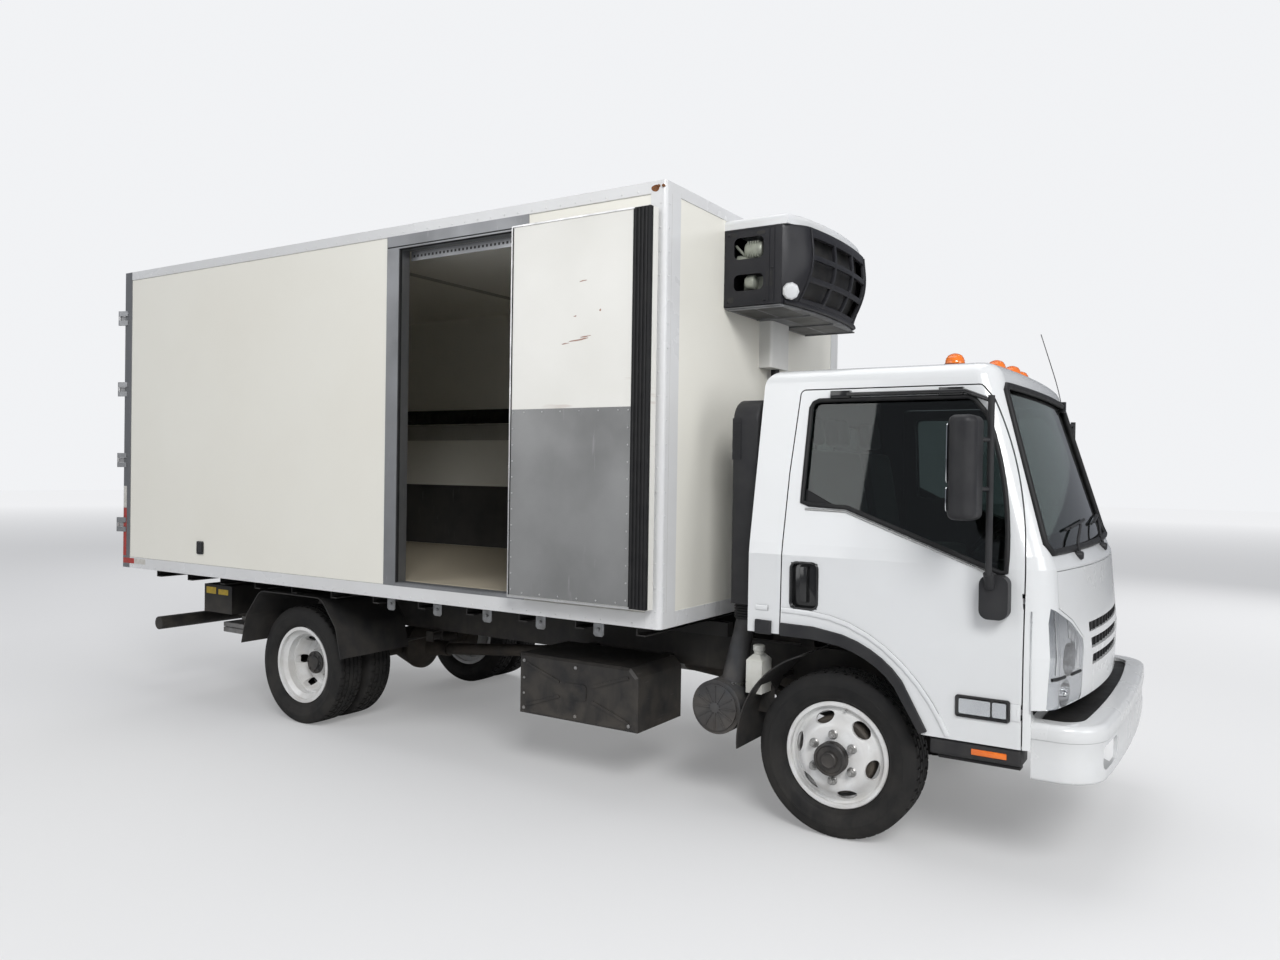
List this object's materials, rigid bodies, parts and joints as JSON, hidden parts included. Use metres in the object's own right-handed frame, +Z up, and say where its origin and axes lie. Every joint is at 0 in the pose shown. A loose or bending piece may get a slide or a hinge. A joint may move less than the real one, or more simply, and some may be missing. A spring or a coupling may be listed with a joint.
{
  "type": "refrigerated truck",
  "caption": "Low cab-forward truck with an insulated load body, nose-mounted cooling unit, side door, rear doors and folding lift.",
  "frame": {"origin": "on the ground under the middle of the vehicle's length and width", "axes": "+X forward, +Y to the vehicle's left, +Z up"},
  "size_m": [6.99, 2.67, 3.2499],
  "materials": {
    "frame_black": "satin, dusty",
    "cast_black": "matt",
    "bare_steel": "dull",
    "aluminium": "dull",
    "cab_white": "gloss",
    "wheel_white": "gloss, dusty",
    "body_white": "semi gloss",
    "rail_white": "semi gloss",
    "tyre": "matt",
    "black_plastic": "matt",
    "grey_plastic": "matt",
    "seat_fabric": "matt",
    "glass": "clear",
    "lamp_chrome": "bright"
  },
  "bodies": {
    "truck": {"air_cleaner": "black_plastic", "battery_box": "black_plastic", "box_floor": "body_white", "box_front_wall": "body_white", "box_left_wall": "body_white", "box_rails": "rail_white", "box_right_wall": "body_white", "box_roof": "body_white", "chassis_frame": "frame_black", "condenser": "aluminium", "driveshaft": "frame_black", "engine": "cast_black", "evaporator": "body_white", "exhaust_box": "frame_black", "front_axle": "frame_black", "front_bumper": "cab_white", "fuel_tank": "bare_steel", "leaf_springs": "frame_black", "lift_frame": "frame_black", "mudguards": "black_plastic", "radiator": "aluminium", "rear_axle": "frame_black", "rear_frame": "rail_white", "side_door_frame": "aluminium", "unit_conduit": "rail_white", "unit_cover": "cab_white", "unit_grille": "black_plastic", "unit_housing": "aluminium"},
    "cab": {"cab_shell": "cab_white", "front_panel": "cab_white", "cab_glass": "glass", "headlamps": "glass", "lamp_bowls": "lamp_chrome", "seats": "seat_fabric", "dashboard": "grey_plastic", "steering_wheel": "black_plastic", "snorkel": "black_plastic"},
    "left_cab_door": {"left_door": "cab_white", "left_door_glass": "glass", "left_mirror": "black_plastic"},
    "right_cab_door": {"right_door": "cab_white", "right_door_glass": "glass", "right_mirror": "black_plastic"},
    "left_steering": {"left_knuckle": "frame_black"},
    "right_steering": {"right_knuckle": "frame_black"},
    "track_rod": {"tie_rod": "frame_black"},
    "front_left_wheel": {"front_left_tyre": "tyre", "front_left_rim": "wheel_white"},
    "front_right_wheel": {"front_right_tyre": "tyre", "front_right_rim": "wheel_white"},
    "rear_left_wheels": {"rear_left_tyres": "tyre", "rear_left_rims": "wheel_white"},
    "rear_right_wheels": {"rear_right_tyres": "tyre", "rear_right_rims": "wheel_white"},
    "side_door_leaf": {"side_door": "body_white"},
    "rear_left_leaf": {"rear_left_door": "body_white"},
    "rear_right_leaf": {"rear_right_door": "body_white"},
    "lift_arm_pair": {"lift_arms": "frame_black"},
    "lift_deck": {"lift_platform": "aluminium"}
  },
  "joints": [
    {"name": "cab_tilt", "type": "hinge", "parent": "truck", "child": "cab", "pos_m": [3.295, 0, 0.8], "axis": [0, 1, 0], "range_deg": [0, 45]},
    {"name": "left_cab_door_hinge", "type": "hinge", "parent": "cab", "child": "left_cab_door", "pos_m": [3.127, 1.02, 1], "axis": [0, 0, -1], "range_deg": [0, 68]},
    {"name": "right_cab_door_hinge", "type": "hinge", "parent": "cab", "child": "right_cab_door", "pos_m": [3.127, -1.02, 1], "axis": [0, 0, 1], "range_deg": [0, 68]},
    {"name": "left_steer", "type": "hinge", "parent": "truck", "child": "left_steering", "pos_m": [2.275, 0.72, 0.405], "axis": [0, 0, 1], "range_deg": [-38, 38]},
    {"name": "right_steer", "type": "hinge", "parent": "truck", "child": "right_steering", "pos_m": [2.275, -0.72, 0.405], "axis": [0, 0, 1], "range_deg": [-38, 38]},
    {"name": "track_rod_eye", "type": "hinge", "parent": "left_steering", "child": "track_rod", "pos_m": [2.105, 0.72, 0.29], "axis": [0, 0, 1], "range_deg": [-38, 38]},
    {"name": "front_left_spin", "type": "hinge", "parent": "left_steering", "child": "front_left_wheel", "pos_m": [2.275, 0.8325, 0.405], "axis": [0, 1, 0], "continuous": true},
    {"name": "front_right_spin", "type": "hinge", "parent": "right_steering", "child": "front_right_wheel", "pos_m": [2.275, -0.8325, 0.405], "axis": [0, 1, 0], "continuous": true},
    {"name": "rear_left_spin", "type": "hinge", "parent": "truck", "child": "rear_left_wheels", "pos_m": [-1.535, 0.825, 0.405], "axis": [0, 1, 0], "continuous": true},
    {"name": "rear_right_spin", "type": "hinge", "parent": "truck", "child": "rear_right_wheels", "pos_m": [-1.535, -0.825, 0.405], "axis": [0, 1, 0], "continuous": true},
    {"name": "side_door_hinge", "type": "hinge", "parent": "truck", "child": "side_door_leaf", "pos_m": [0.4875, -1.231, 2.09], "axis": [0, 0, 1], "range_deg": [-180, 0]},
    {"name": "rear_left_hinge", "type": "hinge", "parent": "truck", "child": "rear_left_leaf", "pos_m": [-3.485, 1.239, 2], "axis": [0, 0, -1], "range_deg": [0, 265]},
    {"name": "rear_right_hinge", "type": "hinge", "parent": "truck", "child": "rear_right_leaf", "pos_m": [-3.485, -1.239, 2], "axis": [0, 0, 1], "range_deg": [0, 265]},
    {"name": "lift_lower", "type": "hinge", "parent": "truck", "child": "lift_arm_pair", "pos_m": [-2.525, 0, 0.58], "axis": [0, -1, 0], "range_deg": [0, 30]},
    {"name": "lift_level", "type": "hinge", "parent": "lift_arm_pair", "child": "lift_deck", "pos_m": [-3.005, 0, 0.58], "axis": [0, -1, 0], "range_deg": [-30, 0]}
  ],
  "couplings": [
    {"joint": "right_steer", "follows": "left_steer", "ratio": 1},
    {"joint": "track_rod_eye", "follows": "left_steer", "ratio": -1},
    {"joint": "lift_level", "follows": "lift_lower", "ratio": -1}
  ]
}
